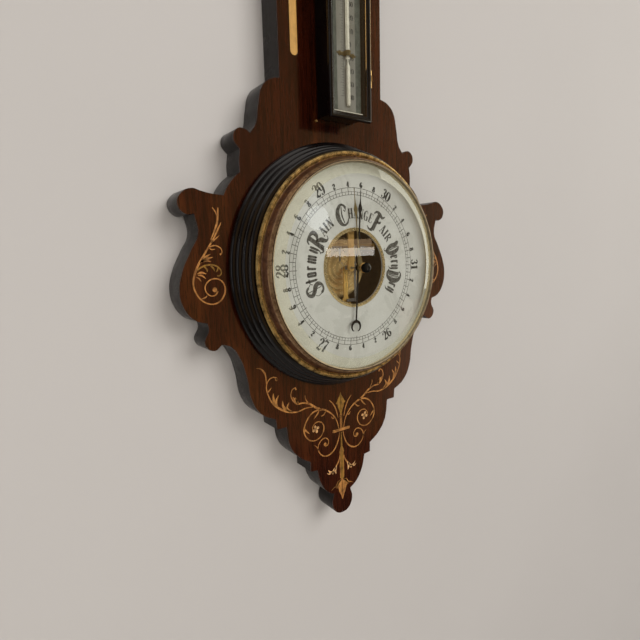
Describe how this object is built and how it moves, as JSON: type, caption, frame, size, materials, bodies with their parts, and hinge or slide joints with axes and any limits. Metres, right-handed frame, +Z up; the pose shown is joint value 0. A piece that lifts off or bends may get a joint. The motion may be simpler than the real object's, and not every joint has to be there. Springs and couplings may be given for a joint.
{
  "type": "aneroid banjo barometer",
  "caption": "Wall-hung banjo barometer: scroll-cut inlaid board, glazed white dial with blued and brass hands, and a glazed thermometer box on its stem.",
  "frame": {"origin": "hanging point on the back face, at the centre of the brass keyhole plate", "axes": "+X to the right as seen from the front, +Y into the wall, +Z up; the dial faces -Y"},
  "size_m": [0.3406, 0.077, 0.869],
  "materials": {
    "rosewood": "French-polished dark red-brown rosewood veneer, streaky upright grain",
    "ebonised_wood": "black-stained, satin polished wood",
    "boxwood": "golden boxwood inlay under polish",
    "gilt_brass": "lacquered gilt brass with a mottled brown patina",
    "movement_brass": "brushed gilt brass",
    "steel": "plain bright steel",
    "blued_steel": "heat-blued steel",
    "blackened_brass": "blackened, milled brass",
    "clear_glass": "clear plate glass with a faint green tint",
    "opal_glass": "white opal glass with a soft gloss",
    "nickel_silver": "tarnished nickel silver, pressed in rings"
  },
  "bodies": {
    "root": {"aneroid_capsule": "nickel_silver", "arbor_cock": "movement_brass", "base_plate": "movement_brass", "bevelled_glass": "clear_glass", "bezel": "gilt_brass", "bezel_pin_090": "gilt_brass", "bezel_pin_210": "gilt_brass", "bezel_pin_330": "gilt_brass", "box_foot_pin": "movement_brass", "boxwood_strip_left": "boxwood", "boxwood_strip_right": "boxwood", "capsule_stud": "steel", "case_board": "ebonised_wood", "cock_pillar": "movement_brass", "cock_screw": "steel", "dial_centre_ring": "gilt_brass", "dial_plate": "opal_glass", "dial_surround": "ebonised_wood", "front_veneer": "rosewood", "fusee_chain": "steel", "glass_spacer_ring": "gilt_brass", "hairspring": "blued_steel", "hanger_plate": "movement_brass", "hanger_screw_lower": "steel", "hanger_screw_upper": "steel", "hinge_box_leaf_lower": "movement_brass", "hinge_box_leaf_upper": "movement_brass", "hinge_pin_lower": "steel", "hinge_pin_upper": "steel", "main_spring": "movement_brass", "movement_case": "movement_brass", "regulator_pivot_left": "steel", "regulator_pivot_right": "steel", "regulator_post_left": "movement_brass", "regulator_post_right": "movement_brass", "scale_plate": "opal_glass", "spring_post": "movement_brass", "spring_screw_left": "steel", "spring_screw_right": "steel", "thermometer_box": "ebonised_wood", "thermometer_tube": "clear_glass", "tube_clip_lower": "movement_brass", "tube_clip_upper": "movement_brass"},
    "indicator": {"indicator_hand": "blued_steel", "hand_arbor": "steel"},
    "set_hand": {"set_hand": "gilt_brass", "set_hand_spindle": "movement_brass", "knob_washer": "movement_brass", "set_hand_knob": "blackened_brass"},
    "regulator": {"regulator_bar": "steel"},
    "lever": {"main_lever": "steel", "link_rod": "steel"},
    "adjuster": {"adjusting_screw": "steel"},
    "door": {"door_frame": "ebonised_wood", "door_pane": "clear_glass", "door_pull": "movement_brass", "hinge_door_leaf_lower": "movement_brass", "hinge_door_leaf_upper": "movement_brass"}
  },
  "joints": [
    {"name": "indicator_turn", "type": "hinge", "parent": "root", "child": "indicator", "pos_m": [0, -0.028, -0.545], "axis": [0, 1, 0], "range_deg": [-213.7, 86.3]},
    {"name": "set_hand_turn", "type": "hinge", "parent": "root", "child": "set_hand", "pos_m": [0, -0.028, -0.545], "axis": [0, 1, 0], "continuous": true},
    {"name": "regulator_rock", "type": "hinge", "parent": "root", "child": "regulator", "pos_m": [0, -0.041, -0.524], "axis": [1, 0, 0], "range_deg": [-12.9, 5.3]},
    {"name": "lever_lift", "type": "hinge", "parent": "root", "child": "lever", "pos_m": [0, -0.0405, -0.579], "axis": [1, 0, 0], "range_deg": [-2.2, 0.9]},
    {"name": "adjuster_turn", "type": "hinge", "parent": "root", "child": "adjuster", "pos_m": [0, -0.008, -0.545], "axis": [0, 1, 0], "continuous": true},
    {"name": "door_swing", "type": "hinge", "parent": "root", "child": "door", "pos_m": [0.0269, -0.0523, -0.271], "axis": [0, 0, 1], "range_deg": [0, 110]}
  ],
  "couplings": [
    {"joint": "regulator_rock", "follows": "indicator_turn", "ratio": 0.06},
    {"joint": "lever_lift", "follows": "indicator_turn", "ratio": 0.01}
  ]
}
